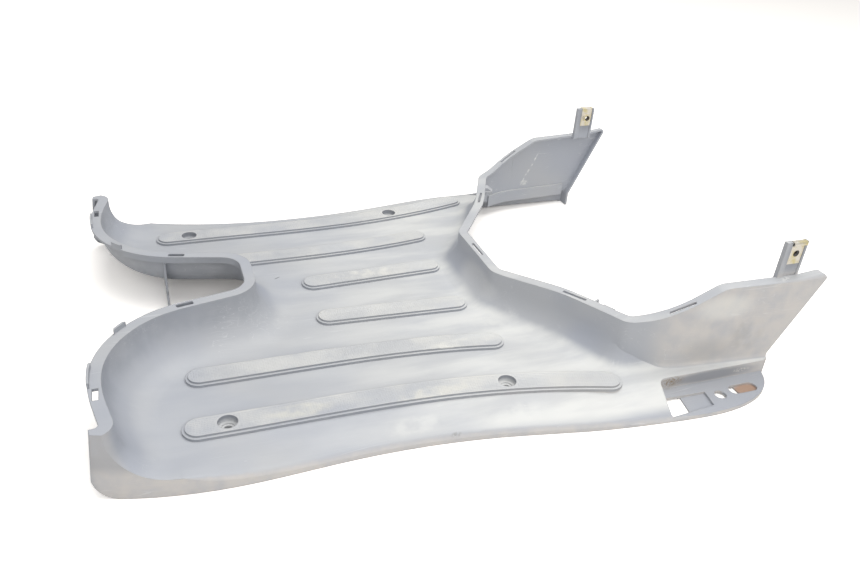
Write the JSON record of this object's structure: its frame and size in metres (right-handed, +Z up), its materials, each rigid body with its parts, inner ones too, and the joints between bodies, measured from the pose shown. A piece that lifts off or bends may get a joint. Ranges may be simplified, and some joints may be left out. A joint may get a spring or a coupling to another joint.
{
  "type": "scooter floorboard",
  "caption": "Moulded plastic scooter floorboard with raised tread strips, a steering column notch, upswept rear wings and spring clip nuts on its fixing tabs.",
  "frame": {"origin": "under the middle of the floorboard's box, on the plane that its skirt stands on", "axes": "+X to the rear of the scooter, +Y to the rider's right, +Z up"},
  "size_m": [0.641, 0.4896, 0.1368],
  "materials": {
    "moulded_plastic": "worn grained matte, scuffed along its raised strips and edges",
    "plated_steel": "dull zinc plate with rust round the hole"
  },
  "bodies": {
    "root": {"floorboard": "moulded_plastic", "clip_nut_left": "plated_steel", "clip_nut_right": "plated_steel"}
  },
  "joints": []
}
